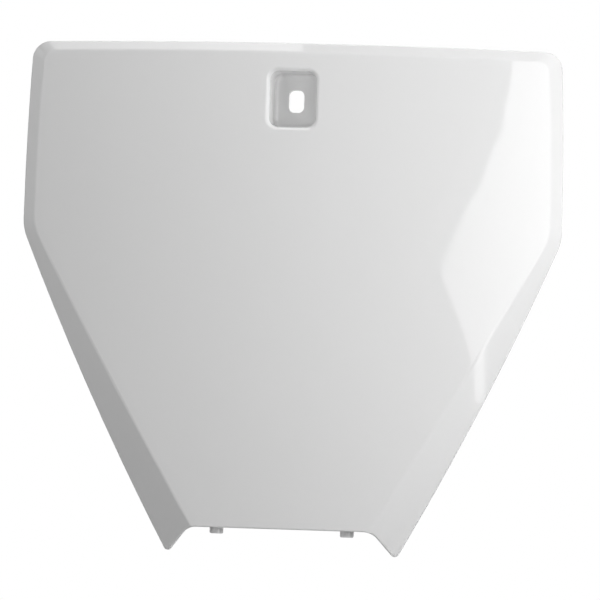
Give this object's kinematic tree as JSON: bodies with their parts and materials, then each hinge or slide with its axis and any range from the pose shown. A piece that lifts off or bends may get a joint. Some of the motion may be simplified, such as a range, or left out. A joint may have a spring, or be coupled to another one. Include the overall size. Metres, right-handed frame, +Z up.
{
  "type": "racing number board",
  "caption": "Curved front number board in white moulded plastic, with bevelled rim, tapering flanks ending in prongs, a screw recess and locating pegs.",
  "frame": {"origin": "centre of the screw slot, on the rear face of the recess floor", "axes": "+X across the board to the viewer's right, +Y out of its back, +Z up; the face looks along -Y"},
  "size_m": [0.2578, 0.021, 0.2422],
  "materials": {
    "board_plastic": "gloss"
  },
  "bodies": {
    "root": {"number_board": "board_plastic"}
  },
  "joints": []
}
